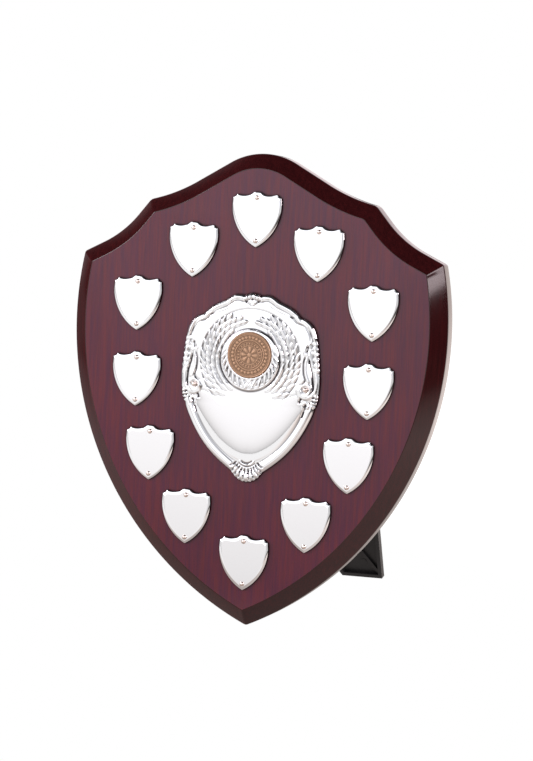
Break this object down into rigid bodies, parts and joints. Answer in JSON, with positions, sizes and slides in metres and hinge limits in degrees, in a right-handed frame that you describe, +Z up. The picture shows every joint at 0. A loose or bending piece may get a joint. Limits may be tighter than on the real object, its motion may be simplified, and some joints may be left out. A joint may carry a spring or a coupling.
{
  "type": "wooden plaque",
  "caption": "Shield-shaped wooden award plaque with a silver centre plate, small engraving shields pinned around it, a wall keyhole and a fold-out strut that stands it on a table.",
  "frame": {"origin": "the lowest point of the board, where the back edge of its rounded tip touches the table", "axes": "+Z up, +X to the viewer's right, -Y towards the viewer; the board leans back 13 degrees, so its top is towards +Y and the strut stands behind it"},
  "size_m": [0.2196, 0.1047, 0.2607],
  "materials": {
    "lacquered_wood": "reddish mahogany stain under satin lacquer",
    "silver_plate": "pressed and polished silver plate",
    "silver_shield": "polished silver plate",
    "nickel_pin": "nickel-plated round-headed pin",
    "bronze_disc": "matt antique bronze",
    "foam_pad": "white double-sided foam tape",
    "black_plastic": "satin black moulding",
    "steel_pin": "bright drawn steel",
    "zinc_screw": "zinc-plated",
    "brassed_steel": "brass-plated pressed steel"
  },
  "bodies": {
    "plaque": {"backboard": "lacquered_wood", "centre_plate": "silver_plate", "centre_plate_pins": "nickel_pin", "hanger_plate": "brassed_steel", "hanger_screws": "zinc_screw", "medallion": "bronze_disc", "medallion_adhesive_pad": "foam_pad", "side_shield_01_top": "silver_shield", "side_shield_02_upper_right": "silver_shield", "side_shield_03_right_high": "silver_shield", "side_shield_04_right_middle": "silver_shield", "side_shield_05_right_low": "silver_shield", "side_shield_06_lower_right": "silver_shield", "side_shield_07_bottom": "silver_shield", "side_shield_08_lower_left": "silver_shield", "side_shield_09_left_low": "silver_shield", "side_shield_10_left_middle": "silver_shield", "side_shield_11_left_high": "silver_shield", "side_shield_12_upper_left": "silver_shield", "side_shield_pins": "nickel_pin", "strut_hinge_pin": "steel_pin", "strut_hinge_plate": "black_plastic", "strut_hinge_screws": "zinc_screw"},
    "strut": {"strut_leg": "black_plastic"}
  },
  "joints": [
    {"name": "strut_hinge", "type": "hinge", "parent": "plaque", "child": "strut", "pos_m": [0, 0.04863, 0.17732], "axis": [-1, 0, 0], "range_deg": [0, 26.9]}
  ]
}
